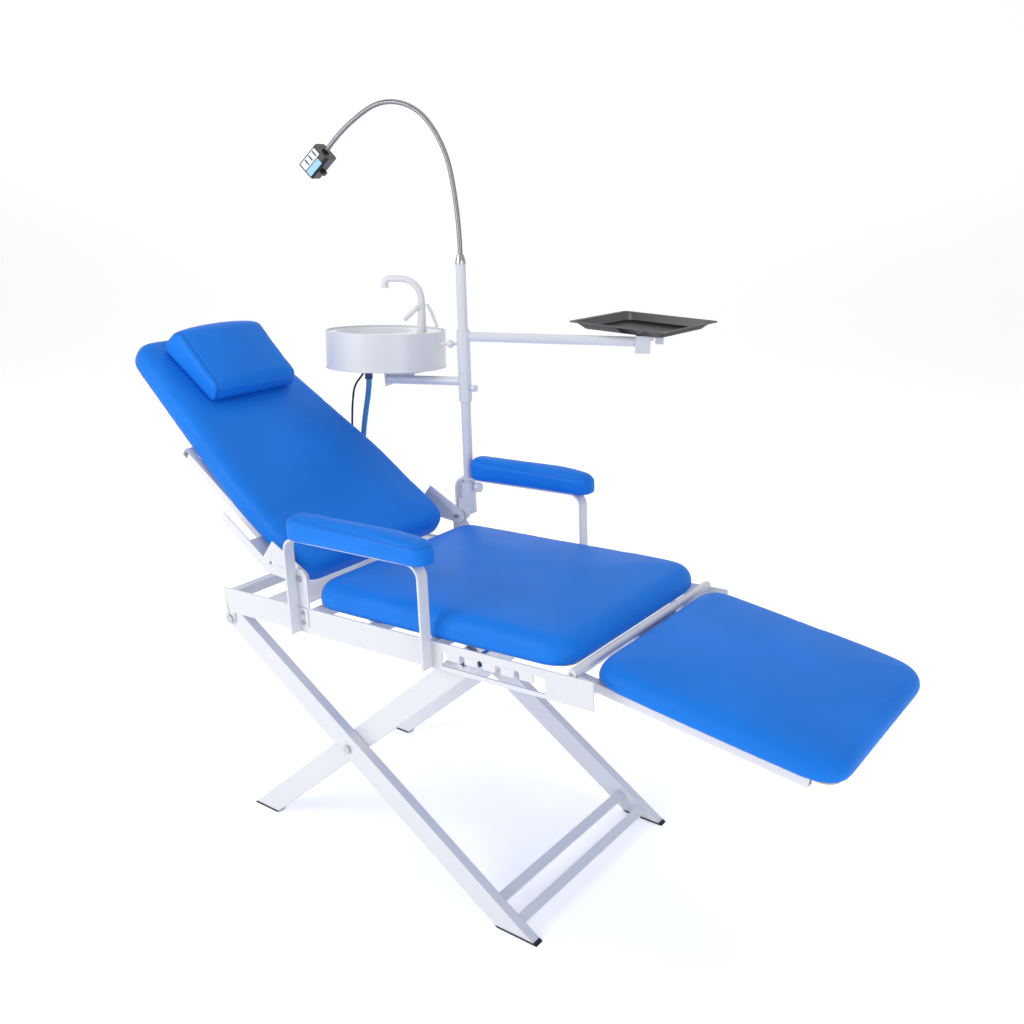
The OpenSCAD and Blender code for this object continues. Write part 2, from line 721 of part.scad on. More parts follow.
// Frustum-like pan: wide at the rim, narrower at the floor
module pan(inset_top, inset_low, z_top, z_low) hull() {
    translate([-tray_len / 2 + inset_top, -tray_wide / 2 + inset_top, z_top - 0.1]) linear_extrude(0.1)
        round_rect([tray_len - 2 * inset_top, tray_wide - 2 * inset_top], 12);
    translate([-tray_len / 2 + inset_low, -tray_wide / 2 + inset_low, z_low]) linear_extrude(0.1)
        round_rect([tray_len - 2 * inset_low, tray_wide - 2 * inset_low], 12);
}

module tray() color(steel) on_tray() {
    difference() {
        pan(8, 26, 0, -tray_deep);
        pan(9.5, 27.5, 1, -tray_deep + 1.5);
    }
    translate([0, 0, -1.5]) linear_extrude(1.5) difference() {
        translate([-tray_len / 2, -tray_wide / 2]) round_rect([tray_len, tray_wide], 14);
        translate([-tray_len / 2 + 9, -tray_wide / 2 + 9]) round_rect([tray_len - 18, tray_wide - 18], 11);
    }
}

knob_ball = 9;

module tray_knob() color(white) on_pole() translate([0, 0, 446]) rotate([0, 0, -62])
    translate([0, -sleeve_d / 2 - 0.3, 0]) thumb_screw(14, knob_ball);

// ---- basin --------------------------------------------------------------------------------------------

module basin_arm() color(white) difference() {
    union() {
        sleeve(basin_sleeve_low, sleeve_split - 0.2);
        on_basin_arm() translate([sleeve_d / 2 - 3, 0, 0]) rotate([0, 90, 0])
            cylinder(d = arm_d, h = basin_reach - sleeve_d / 2 + 3);
    }
    on_pole() translate([0, 0, basin_sleeve_low - 5]) cylinder(d = pole_d + 2 * running, h = 90);
    on_basin_arm() translate([sleeve_d / 2 + 2, 0, 0]) rotate([0, 90, 0])
        cylinder(d = arm_d - 3, h = basin_reach);
}

pad_under = 6;

// End plate on the arm, the plate under the basin and the web between them
module basin_bracket() color(white) {
    on_basin_arm() {
        translate([basin_reach, -12, -14]) cube([3, 24, 32]);
        translate([basin_reach - 70, -2, arm_d / 2 + 0.05]) cube([72, 4, 8]);
    }
    on_basin() translate([-90, -25, -pad_under - 3]) cube([88, 50, 3]);
}

module basin_pad() color(black) on_basin() translate([-86, -24, -pad_under]) cube([83, 48, pad_under]);

drain_x = 50;
supply_at = [62, -6];

module basin_drum() color(white) on_basin() difference() {
    union() {
        cylinder(r = basin_r, h = basin_h, $fn = 96);
        cylinder(r = basin_r + 1.8, h = 4, $fn = 96);
    }
    translate([0, 0, 2]) cylinder(r = basin_r - 2.5, h = basin_h, $fn = 96);
    translate([drain_x, 0, -1]) cylinder(r = 9, h = 4);
    translate([supply_at[0], supply_at[1], -1]) cylinder(r = 4, h = 4);
}

bowl_r = 88;
bowl_x = 32;
bowl_deep = 52;
deck_z = basin_h - 6;

// Deck with the bowl hanging in its opening, and the drain tail through the drum's floor
module basin_bowl() color(white) on_basin() difference() {
    union() {
        translate([0, 0, deck_z]) cylinder(r = basin_r - 2.6, h = 2, $fn = 96);
        translate([bowl_x, 0, deck_z - bowl_deep])
            cylinder(r1 = 50, r2 = bowl_r + 2, h = bowl_deep + 1, $fn = 96);
        translate([drain_x, 0, -4]) cylinder(r = 8, h = deck_z - bowl_deep + 6);
    }
    translate([bowl_x, 0, deck_z - bowl_deep + 2])
        cylinder(r1 = 48, r2 = bowl_r, h = bowl_deep + 0.1, $fn = 96);
    translate([drain_x, 0, -10]) cylinder(r = 5, h = deck_z);
    translate([faucet_at[0], faucet_at[1], deck_z - 1]) cylinder(r = 4, h = 5);
}

module basin_knob() color(white) on_pole() translate([0, 0, 350]) rotate([0, 0, 90])
    translate([0, -sleeve_d / 2 - 0.3, 0]) {
        rotate([90, 0, 0]) cylinder(r = 3.5, h = 7);
        translate([0, -7, 0]) rotate([90, 0, 0]) cylinder(r = 8, h = 8);
    }

faucet_at = [-70, -41];
faucet_h = 62;

module on_faucet() on_basin() translate([faucet_at[0], faucet_at[1], deck_z + 2])
    rotate([0, 0, 14]) children();

// Column with its foot, the thread through the deck and the short cup-filling spout
module faucet_column() color(white) on_faucet() {
    translate([0, 0, -12]) cylinder(r = 3.9, h = 13);
    cylinder(r = 11, h = 3);
    translate([0, 0, 3]) cylinder(r1 = 10.2, r2 = 8.2, h = faucet_h - 3);
    translate([5, 9, faucet_h - 6]) rotate([0, 132, 0]) cylinder(r = 5.2, h = 44);
    translate([3, 2, faucet_h - 6]) rotate([-90, 0, 0]) cylinder(r = 5, h = 9);
}

spout_r = 7.4;
spout_bend = 48;
spout_run = 26;
tip_bend = 13;

module faucet_spout() color(white) on_faucet() translate([0, 0, faucet_h + 0.3]) {
    cylinder(r = 8, h = 6);
    translate([spout_bend, 0, 6]) rotate([90, 0, 0]) rotate([0, 0, 90])
        rotate_extrude(angle = 90) translate([spout_bend, 0]) circle(spout_r);
    translate([spout_bend, 0, 6 + spout_bend]) rotate([0, 90, 0]) cylinder(r = spout_r, h = spout_run);
    translate([spout_bend + spout_run, 0, 6 + spout_bend - tip_bend]) rotate([90, 0, 0])
        rotate_extrude(angle = 90) translate([tip_bend, 0]) circle(spout_r);
    translate([spout_bend + spout_run + tip_bend, 0, 6 + spout_bend - tip_bend - 8]) cylinder(r = 8.4, h = 8);
}

// Leaf-shaped lever hanging outside the column, from its pin at the top
module faucet_lever() color(white) on_faucet() translate([-6.9, -4, 0])
    rotate([90, 0, 0]) linear_extrude(14, center = true)
        polygon([[-2, faucet_h - 1], [-6, faucet_h], [-16, faucet_h - 16], [-29, 12], [-27, 10],
            [-13, faucet_h - 20]]);

// ---- hoses --------------------------------------------------------------------------------------------

module drain_connector() color([0.10, 0.30, 0.55]) difference() {
    on_basin() translate([drain_x, 0, -38]) cylinder(r = 9, h = 34);
    slab(0, drain_route[0][2] + 0.6);
}

module drain_hose() color([0.30, 0.62, 0.90]) chair() hose(drain_route, drain_d, 12);

module supply_tube() color([0.05, 0.06, 0.20]) chair() hose(supply_route, supply_d, 8);

module supply_plug() color(black) chair() translate(supply_route[len(supply_route) - 1] - [0, 0, 34.2]) {
    cylinder(r = 6, h = 22);
    translate([0, 0, 22]) cylinder(r = 4.5, h = 12);
}

rail_right();
rail_left();
seat_cross_members();
rear_cover_plate();
seat_board();
seat_cushion();
arm_bracket_right();
arm_bracket_left();
arm_pad_right();
arm_pad_left();
arm_screws();
backrest_hinge_pins();
leg_hinge_bolts();
legrest_hinge_tubes();
legrest_hinge_pin();
pole_socket();
outer_leg_right();
outer_leg_left();
front_crossbars();
front_foot_caps();
crossing_bolts();
inner_leg_right();
inner_leg_left();
latch_rod();
rear_foot_caps();
backrest_bracket_right();
backrest_bracket_left();
backrest_frame();
backrest_board();
backrest_cushion();
head_pillow();
legrest_frame();
legrest_board();
legrest_cushion();
pole();
pole_ferrule();
socket_knob();
gooseneck();
lamp_housing();
lamp_lens();
lamp_knob();
tray_arm();
tray_bracket();
tray_knob();
tray_holder();
tray();
basin_arm();
basin_bracket();
basin_pad();
basin_drum();
basin_bowl();
basin_knob();
faucet_column();
faucet_spout();
faucet_lever();
drain_connector();
drain_hose();
supply_tube();
supply_plug();
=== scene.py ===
"""Looks of the folding dental chair: upholstery, hoses, trim, materials, camera and light."""

import json
import math

import bmesh
import bpy
import numpy as np
from mathutils import Matrix, Vector


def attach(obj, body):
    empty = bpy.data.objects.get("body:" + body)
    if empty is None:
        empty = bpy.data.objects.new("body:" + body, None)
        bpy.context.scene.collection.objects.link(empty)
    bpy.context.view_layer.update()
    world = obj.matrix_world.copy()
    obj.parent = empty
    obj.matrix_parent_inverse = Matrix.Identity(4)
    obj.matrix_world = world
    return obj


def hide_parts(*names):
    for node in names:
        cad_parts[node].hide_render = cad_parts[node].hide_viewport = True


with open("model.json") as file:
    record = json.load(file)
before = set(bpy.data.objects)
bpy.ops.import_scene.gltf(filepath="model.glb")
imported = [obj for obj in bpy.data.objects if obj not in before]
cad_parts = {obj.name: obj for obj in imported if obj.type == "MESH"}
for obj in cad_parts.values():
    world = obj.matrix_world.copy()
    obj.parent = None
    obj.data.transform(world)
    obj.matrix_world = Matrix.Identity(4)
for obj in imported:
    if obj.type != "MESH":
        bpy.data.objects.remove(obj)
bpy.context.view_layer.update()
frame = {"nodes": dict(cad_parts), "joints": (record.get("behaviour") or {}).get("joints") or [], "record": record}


record = frame["record"]
joints = {j["name"]: j for j in frame["joints"]}
scene = bpy.context.scene
MM = 0.001
UP = Vector((0, 0, 1))

# How far the flat sides of the cushions lean back about the cross-chair axis, in degrees
SEAT_TILT, BACK_TILT, LEGREST_TILT = -3.3, 33, 6.7

# The middle of the chair's own frame, from the backrest hinge's place in it
HINGE_X = -104.8
OFF = Vector((joints["backrest_recline"]["pos_m"][0] - HINGE_X * MM, joints["legs_fold"]["pos_m"][1], 0))


def at(x, y, z):
    """A point in the chair's own frame, in mm, as a point of the row frame."""
    return OFF + Vector((x, y, z)) * MM


# ---- camera ---------------------------------------------------------------------------------------------

CAMERA_AT = (1381.5, -1636.9, 1370.1)
az, el, roll = math.radians(35.42), math.radians(18.02), math.radians(0.71)
back = Vector((math.sin(az) * math.cos(el), -math.cos(az) * math.cos(el), math.sin(el)))
right = UP.cross(back).normalized()
up = back.cross(right)
cam_x = right * math.cos(roll) + up * math.sin(roll)
cam_y = up * math.cos(roll) - right * math.sin(roll)
camera = bpy.data.objects.new("camera", bpy.data.cameras.new("camera"))
scene.collection.objects.link(camera)
camera.data.lens = 39.05
camera.data.sensor_width = 36
place = Matrix((cam_x, cam_y, back)).transposed().to_4x4()
place.translation = at(*CAMERA_AT)
camera.matrix_world = place
scene.camera = camera

# ---- materials ------------------------------------------------------------------------------------------


def linear(rgb):
    """An sRGB colour of 0 to 255 as linear 0 to 1."""
    srgb = [c / 255 for c in rgb]
    return tuple(c / 12.92 if c <= 0.04045 else ((c + 0.055) / 1.055) ** 2.4 for c in srgb)


class Mat:
    """A procedural material, with short helpers for its nodes. Scales are per metre, depths in metres."""

    def __init__(self, name, rgb, rough=0.5, metal=0.0, **inputs):
        self.m = bpy.data.materials.new(name)
        self.m.use_nodes = True
        self.t = self.m.node_tree
        self.b = self.t.nodes["Principled BSDF"]
        self.rgb = linear(rgb)
        self.last_bump = None
        self.b.inputs["Base Color"].default_value = (*self.rgb, 1)
        self.b.inputs["Roughness"].default_value = rough
        self.b.inputs["Metallic"].default_value = metal
        for key, value in inputs.items():
            self.b.inputs[key.replace("_", " ")].default_value = value

    def node(self, kind, **values):
        n = self.t.nodes.new(kind)
        for key, value in values.items():
            if key in n.inputs:
                n.inputs[key].default_value = value
            else:
                setattr(n, key, value)
        return n

    def link(self, a, b):
        self.t.links.new(a, b)

    def where(self, stretch=(1, 1, 1)):
        c = self.node("ShaderNodeTexCoord")
        m = self.node("ShaderNodeMapping", Scale=stretch)
        self.link(c.outputs["Object"], m.inputs["Vector"])
        return m.outputs["Vector"]

    def noise(self, scale, detail=3, stretch=(1, 1, 1)):
        n = self.node("ShaderNodeTexNoise", Scale=scale, Detail=detail)
        self.link(self.where(stretch), n.inputs["Vector"])
        return n.outputs["Fac"]

    def bump(self, height, strength, distance):
        """Adds a bump on top of the ones before it."""
        n = self.node("ShaderNodeBump", Strength=strength, Distance=distance)
        self.link(height, n.inputs["Height"])
        if self.last_bump is not None:
            self.link(self.last_bump, n.inputs["Normal"])
        self.last_bump = n.outputs["Normal"]
        self.link(self.last_bump, self.b.inputs["Normal"])

    def vary(self, fac, low, high):
        """Lets the roughness run from low to high."""
        m = self.node("ShaderNodeMapRange")
        m.inputs["To Min"].default_value = low
        m.inputs["To Max"].default_value = high
        self.link(fac, m.inputs["Value"])
        self.link(m.outputs["Result"], self.b.inputs["Roughness"])

    def colour(self, fac, dark, light):
        """Lets the base colour run from dark to light times its own value."""
        r = self.node("ShaderNodeValToRGB")
        for e, pos, factor in zip(r.color_ramp.elements, (0.3, 0.7), (dark, light)):
            e.position = pos
            e.color = (*(min(1, c * factor) for c in self.rgb), 1)
        self.link(fac, r.inputs["Fac"])
        self.link(r.outputs["Color"], self.b.inputs["Base Color"])

    def glow(self, rgb, strength):
        self.b.inputs["Emission Color"].default_value = (*rgb, 1)
        self.b.inputs["Emission Strength"].default_value = strength


def powder_coat(name, edge_radius=None):
    """White paint; with an edge radius, edges are also rounded in the shading."""
    m = Mat(name, (212, 214, 222), 0.34, Coat_Weight=0.15, Coat_Roughness=0.2)
    if edge_radius is not None:
        m.last_bump = m.node("ShaderNodeBevel", Radius=edge_radius, samples=6).outputs["Normal"]
    m.bump(m.noise(900, 2), 0.06, 0.0002)
    m.colour(m.noise(5, 2), 0.97, 1.0)
    return m


paint = powder_coat("white_paint")
tube_paint = powder_coat("white_paint_tubes", 0.0022)
vinyl = Mat("blue_vinyl", (24, 117, 219), 0.45, Specular_IOR_Level=0.1)
vinyl.colour(vinyl.noise(6, 2), 0.93, 1.05)
grain = vinyl.node("ShaderNodeTexVoronoi", Scale=950, feature="DISTANCE_TO_EDGE")
vinyl.link(vinyl.where(), grain.inputs["Vector"])
vinyl.bump(grain.outputs["Distance"], 0.05, 0.0003)
vinyl.bump(vinyl.noise(60), 0.04, 0.001)
vinyl.vary(vinyl.noise(25, 4), 0.39, 0.5)
piping = Mat("piping_vinyl", (10, 78, 176), 0.5)
piping.bump(piping.noise(900, 2), 0.2, 0.0002)
ply = Mat("plywood", (198, 178, 140), 0.7)
ply.colour(ply.noise(40, 5, (1, 12, 60)), 0.75, 1.12)
ply.bump(ply.noise(200, 4, (1, 8, 20)), 0.15, 0.0004)
zinc = Mat("zinc_steel", (190, 193, 198), 0.28, 1.0)
zinc.vary(zinc.noise(150, 4), 0.2, 0.38)
flex = Mat("flex_steel", (148, 149, 153), 0.26, 1.0)
flex.vary(flex.noise(200), 0.2, 0.36)
# The tint darkens the metal's reflections at a low angle, as on the tray's rim in the photo
stainless = Mat("stainless", (104, 103, 106), 0.18, 1.0, Specular_Tint=(0.35, 0.35, 0.35, 1))
stainless.vary(stainless.noise(400), 0.15, 0.24)
stainless.bump(stainless.noise(1200, 2), 0.02, 0.0001)
rubber = Mat("black_rubber", (24, 24, 26), 0.72)
rubber.bump(rubber.noise(700), 0.15, 0.0003)
rubber.vary(rubber.noise(60), 0.6, 0.8)
plastic_black = Mat("black_plastic", (22, 22, 25), 0.38)
plastic_black.bump(plastic_black.noise(900, 2), 0.06, 0.0002)
plastic_black.vary(plastic_black.noise(80), 0.3, 0.46)
plastic_white = Mat("white_plastic", (214, 216, 222), 0.34, Coat_Weight=0.1, Coat_Roughness=0.2)
plastic_white.colour(plastic_white.noise(12, 2), 0.975, 1.0)
hose_pale = Mat("pale_hose", (74, 142, 206), 0.3, Transmission_Weight=0.35, IOR=1.35)
hose_pale.colour(hose_pale.noise(30, 2), 0.85, 1.1)
plastic_blue = Mat("blue_plastic", (22, 62, 112), 0.4)
plastic_blue.vary(plastic_blue.noise(90), 0.34, 0.5)
tube_navy = Mat("navy_tube", (12, 14, 46), 0.34)
tube_navy.vary(tube_navy.noise(90), 0.28, 0.42)
lens = Mat("lens", (190, 226, 246), 0.12)
lens.glow((0.55, 0.82, 1.0), 0.9)
# Near-black for the lamp's vent slots: painted shade in place of the slots' depth
vent_shade = Mat("painted_slot_shade", (12, 12, 13), 0.6)

by_slot = {
    "white_paint": paint, "blue_vinyl": vinyl, "plywood": ply, "zinc_steel": zinc, "flex_steel": flex,
    "stainless": stainless, "black_rubber": rubber, "black_plastic": plastic_black,
    "white_plastic": plastic_white, "lens": lens, "pale_hose": hose_pale, "blue_plastic": plastic_blue,
    "navy_tube": tube_navy,
}
slot_of = {s["node"]: s["material_slot"] for s in record["subparts"]}

# ---- CAD nodes: finish and softened edges ---------------------------------------------------------------

# Edge widths in mm
BEVEL = {
    "rail_right": 0.6, "rail_left": 0.6, "front_crossbars": 0.7, "seat_cross_members": 0.7,
    "front_foot_caps": 1.2, "rear_foot_caps": 1.2, "arm_bracket_right": 0.7, "arm_bracket_left": 0.7,
    "legrest_frame": 0.7, "backrest_frame": 0.7, "tray_bracket": 0.8, "basin_bracket": 0.8,
    "basin_pad": 1.2, "faucet_lever": 1.4, "leg_hinge_bolts": 1.5, "crossing_bolts": 1.5,
    "backrest_hinge_pins": 1.0, "arm_screws": 0.9, "seat_board": 1.5, "backrest_board": 1.5,
    "legrest_board": 1.2,
}
OTHER_BEVEL = 0.5
# The legs' wide faces have holes, which a bevel streaks: these are split at their edges instead
SPLIT = {"outer_leg_right", "outer_leg_left", "inner_leg_right", "inner_leg_left"}


def soften(name, o):
    if name in SPLIT:
        o.modifiers.new("split", "EDGE_SPLIT").split_angle = math.radians(30)
        return
    w = o.modifiers.new("weld", "WELD")
    w.merge_threshold = 0.02 * MM
    b = o.modifiers.new("edges", "BEVEL")
    b.width = BEVEL.get(name, OTHER_BEVEL) * MM
    b.segments = 3
    b.limit_method = "ANGLE"
    b.angle_limit = math.radians(35)
    b.use_clamp_overlap = True
    b.face_strength_mode = "FSTR_ALL"
    n = o.modifiers.new("normals", "WEIGHTED_NORMAL")
    n.weight = 50
    n.use_face_influence = True


for name, obj in frame["nodes"].items():
    finish = tube_paint if name in SPLIT else by_slot[slot_of[name]]
    obj.data.materials.clear()
    obj.data.materials.append(finish.m)
    for poly in obj.data.polygons:
        poly.material_index = 0
        poly.use_smooth = True
    soften(name, obj)

# ---- helpers for the modelled pieces --------------------------------------------------------------------


def new_mesh(name, verts, faces, material, smooth=True):
    me = bpy.data.meshes.new(name)
    me.from_pydata([tuple(v) for v in verts], [], [tuple(f) for f in faces])
    me.update()
    me.materials.append(material.m)
    o = bpy.data.objects.new(name, me)
    scene.collection.objects.link(o)
    for p in me.polygons:
        p.use_smooth = smooth
    return o


def skin(rows, n, wrap=False):
    """Faces between rows of n points each, closed round; wrap joins the last row to the first."""
    faces = []
    for r in range(rows if wrap else rows - 1):
        s = (r + 1) % rows
        for i in range(n):
            j = (i + 1) % n
            faces.append((r * n + i, r * n + j, s * n + j, s * n + i))
    return faces


def end_caps(rows, n):
    return [tuple(range(n))[::-1], tuple((rows - 1) * n + i for i in range(n))]


def circle(p, u, v, radius, sides):
    turns = [2 * math.pi * k / sides for k in range(sides)]
    return [p + (u * math.cos(a) + v * math.sin(a)) * radius for a in turns]


def get_co(o, key="co"):
    """Places of a piece's vertices, a row each; or their normals, with that key."""
    out = np.empty(len(o.data.vertices) * 3)
    o.data.vertices.foreach_get(key, out)
    return out.reshape(-1, 3)


def get_normals(o):
    return get_co(o, "normal")


def set_co(o, co):
    o.data.vertices.foreach_set("co", np.asarray(co, float).ravel())
    o.data.update()


def cross_axes(tilt):
    """Axes of a pad that leans tilt degrees about the cross-chair axis, as columns: along, across, out."""
    t = math.radians(tilt)
    z = np.array([math.sin(t), 0.0, math.cos(t)])
    y = np.array([0.0, 1.0, 0.0])
    return np.stack([np.cross(y, z), y, z], 1)


def turn(a, b, c):
    return (b[0] - a[0]) * (c[1] - a[1]) - (b[1] - a[1]) * (c[0] - a[0])


def hull2d(p):
    p = sorted(set(map(tuple, np.round(p, 6))))

    def half(points):
        out = []
        for q in points:
            while len(out) > 1 and turn(out[-2], out[-1], q) <= 1e-12:
                out.pop()
            out.append(q)
        return out

    low, high = half(p), half(p[::-1])
    return np.array(low[:-1] + high[:-1])


def closed_run(poly):
    """A closed outline with its first point repeated, and the distance run at each point."""
    closed = np.vstack([poly, poly[:1]])
    seg = np.linalg.norm(np.diff(closed, axis=0), axis=1)
    return closed, np.concatenate([[0], np.cumsum(seg)])


def resample(poly, count):
    """A closed outline with evenly spaced points; count says how many for a given length."""
    closed, run = closed_run(poly)
    n = count(run[-1])
    t = np.arange(n) * run[-1] / n
    return np.stack([np.interp(t, run, closed[:, k]) for k in range(closed.shape[1])], 1)


def relax(poly, times):
    """Rounds a closed outline by moving each point towards its neighbours."""
    for _ in range(times):
        poly = (poly * 2 + np.roll(poly, 1, 0) + np.roll(poly, -1, 0)) / 4
    return poly


def inward(sides):
    """Unit normals to the left of 2-D side vectors."""
    return np.stack([-sides[:, 1], sides[:, 0]], 1) / np.linalg.norm(sides, axis=1)[:, None]


def inset(poly, d):
    """A convex outline with its sides moved in by d: each point goes in along the mean normal of its sides."""
    na = inward(poly - np.roll(poly, 1, 0))
    nb = inward(np.roll(poly, -1, 0) - poly)
    n = na + nb
    n /= np.linalg.norm(n, axis=1)[:, None]
    k = 1 / np.maximum(0.5, (n * na).sum(1))
    return poly + n * (d * k)[:, None]


def edge_distance(poly, pts):
    """How far inside a convex outline each point is."""
    best = np.full(len(pts), 1e9)
    for p, q in zip(poly, inward(np.roll(poly, -1, 0) - poly)):
        best = np.minimum(best, (pts - p) @ q)
    return best


def apply_all(o):
    bpy.context.view_layer.update()
    dep = bpy.context.evaluated_depsgraph_get()
    me = bpy.data.meshes.new_from_object(o.evaluated_get(dep))
    old = o.data
    o.modifiers.clear()
    o.data = me
    bpy.data.meshes.remove(old)


def remesh(o, size):
    m = o.modifiers.new("remesh", "REMESH")
    m.mode = "VOXEL"
    m.voxel_size = size
    m.use_smooth_shade = True
    apply_all(o)


def smooth(o, factor, times):
    m = o.modifiers.new("smooth", "SMOOTH")
    m.factor = factor
    m.iterations = times
    apply_all(o)


def wave(s, seed, freqs):
    """A sum of sines along s, with fixed phases."""
    rng = np.random.default_rng(seed)
    out = np.zeros_like(s)
    for f in freqs:
        out += np.sin(s * f * 2 * math.pi + rng.uniform(0, 6.28)) * rng.uniform(0.6, 1)
    return out / len(freqs)


def puff(o, pressure, cap, frames=18):
    """Lets the cover swell a little over its filling, and keeps each point within cap of where it started."""
    rest = get_co(o)
    c = o.modifiers.new("cloth", "CLOTH")
    s = c.settings
    s.quality = 5
    s.mass = 0.3
    s.use_pressure = True
    s.uniform_pressure_force = pressure
    s.tension_stiffness = s.compression_stiffness = 18
    s.shear_stiffness = 8
    s.bending_stiffness = 2.5
    s.effector_weights.gravity = 0
    c.collision_settings.use_collision = False
    c.collision_settings.use_self_collision = False
    c.point_cache.frame_start = 1
    c.point_cache.frame_end = frames
    for f in range(1, frames + 1):
        scene.frame_set(f)
    apply_all(o)
    scene.frame_set(1)
    move = get_co(o) - rest
    size = np.linalg.norm(move, axis=1)
    set_co(o, rest + move * (np.minimum(size, cap) / np.maximum(size, 1e-9))[:, None])


def upholster(o, node, body):
    """Covers a finished pad in vinyl and hands it over in place of its CAD node."""
    for p in o.data.polygons:
        p.use_smooth = True
    o.data.materials.clear()
    o.data.materials.append(vinyl.m)
    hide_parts(node)
    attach(o, body)


def pad_rings(thick, edge, foot, crown):
    """Inset and height of a pad's outline on its way up: rounded foot, side, rounded top edge."""
    quarter = math.pi / 2
    side_top = thick - crown - edge
    foot_turn = [quarter * k / 3 for k in range(4)]
    edge_turn = [quarter * k / 8 for k in range(1, 9)]
    rings = [(foot * (1 - math.sin(a)), foot * (1 - math.cos(a))) for a in foot_turn]
    rings += [(0.0, foot + (side_top - foot) * k / 3) for k in range(1, 4)]
    rings += [(edge * (1 - math.cos(a)), side_top + edge * math.sin(a)) for a in edge_turn]
    return rings, side_top


def round_pad(outline, co):
    """How far round a pad's outline each point lies, by its bearing from the middle."""
    centre = outline.mean(0)
    _, run = closed_run(outline)
    bearing = np.arctan2(co[:, 1] - centre[1], co[:, 0] - centre[0])
    corner = np.unwrap(np.arctan2(outline[:, 1] - centre[1], outline[:, 0] - centre[0]))
    corners = np.concatenate([corner - corner[0], [2 * math.pi]])
    return np.interp((bearing - corner[0]) % (2 * math.pi), corners, run)


def cushion(name, node, tilt, body, seed, edge, foot, crown, reach, taper=None, under=0, round_by=0,
            voxel=5.0, pleat=0.5, cap=2.5):
    """An upholstered pad in place of a CAD node, with a crowned top and small puckers at its foot.

    In mm: edge and foot are the radii of its top and bottom edges, crown is the rise of its top over reach
    from the rim, under is how far it wraps below its node, cap is the most the simulation may move it.
    """
    axes = cross_axes(tilt)
    cad = get_co(frame["nodes"][node])
    loc = cad @ axes
    mid = (loc.min(0) + loc.max(0)) / 2
    mid[2] = loc[:, 2].min()
    origin = axes @ mid
    loc = (cad - origin) @ axes
    origin = origin - axes @ np.array([0, 0, under * MM])
    loc[:, 2] += under * MM
    thick = loc[:, 2].max()
    outline = resample(hull2d(loc[:, :2]), lambda length: max(24, int(round(length / 0.008))))
    outline = relax(outline, round_by)
    rings, side_top = pad_rings(thick, edge * MM, foot * MM, crown * MM)
    verts = [(x, y, z) for d, z in rings for x, y in inset(outline, d)]
    n = len(outline)
    o = new_mesh(name, verts, skin(len(rings), n) + end_caps(len(rings), n), vinyl)
    remesh(o, voxel * MM)
    smooth(o, 0.5, 4)

    co = get_co(o)
    t = np.clip(edge_distance(outline, co[:, :2]) / (reach * MM), 0, 1)
    lift = np.clip((co[:, 2] - foot * MM) / max(side_top - foot * MM, 1e-6), 0, 1)
    co[:, 2] += crown * MM * (1 - (1 - t) ** 2.2) * lift
    if taper is not None:
        co[:, 2] = taper(co, thick)
    set_co(o, co)
    puff(o, 3.5, cap * MM)
    smooth(o, 0.5, 3)

    co = get_co(o)
    low = np.exp(-np.clip(co[:, 2], 0, None) / (thick * 0.28))
    outer = np.exp(-np.clip(edge_distance(outline, co[:, :2]), 0, None) / 0.012)
    ripple = wave(round_pad(outline, co), seed, (31, 43, 57, 73)) * pleat * MM
    co += get_normals(o) * (ripple * low * outer)[:, None]
    dents = wave(co[:, 0] + 0.7 * co[:, 1], seed + 1, (3.1, 4.7))
    dents *= wave(co[:, 1] - 0.4 * co[:, 0], seed + 2, (2.3, 5.1))
    co[:, 2] += dents * 0.9 * MM * np.clip(co[:, 2] / thick, 0, 1) ** 2
    set_co(o, co @ axes.T + origin)
    upholster(o, node, body)
    return o


# ---- upholstery -----------------------------------------------------------------------------------------


def droop(amount, run):
    """Lets the top of a pad come down towards its front end, by amount over the last run of its length."""

    def shape(co, thick):
        x = co[:, 0]
        t = np.clip((x - (x.max() - run * MM)) / (run * MM), 0, 1)
        return co[:, 2] - amount * MM * t**2 * np.clip(co[:, 2] / thick, 0, 1)

    return shape


cushion("seat_pad", "seat_cushion", SEAT_TILT, "seat_frame", 11, edge=28, foot=5, crown=13, reach=190,
        taper=droop(5, 150), under=8, round_by=12)
cushion("backrest_pad", "backrest_cushion", BACK_TILT, "backrest", 23, edge=23, foot=8, crown=9, reach=160,
        under=6, round_by=8)
cushion("legrest_pad", "legrest_cushion", LEGREST_TILT, "legrest", 37, edge=25, foot=7, crown=12, reach=180,
        taper=droop(8, 190), under=4, round_by=12)
arms = {
    side: cushion("arm_pad_soft_" + side, "arm_pad_" + side, SEAT_TILT, "seat_frame", seed,
                  edge=9, foot=6, crown=9, reach=27, taper=droop(12, 100),
                  voxel=3.0, pleat=0.3, cap=1.2)
    for side, seed in (("right", 41), ("left", 43))
}


def slice_loop(o, point, normal):
    """Closed outline where a plane cuts a piece, in order round it, with points about 4 mm apart."""
    bm = bmesh.new()
    bm.from_mesh(o.data)
    whole = bm.verts[:] + bm.edges[:] + bm.faces[:]
    cut = bmesh.ops.bisect_plane(bm, geom=whole, plane_co=point, plane_no=normal)
    pts = np.array([v.co[:] for v in cut["geom_cut"] if isinstance(v, bmesh.types.BMVert)])
    bm.free()
    mid = pts.mean(0)
    n = Vector(normal).normalized()
    u = np.array(n.orthogonal().normalized())
    w = np.cross(np.array(n), u)
    pts = pts[np.argsort(np.arctan2((pts - mid) @ w, (pts - mid) @ u))]
    return relax(resample(pts, lambda length: max(16, int(length / 0.004))), 2)


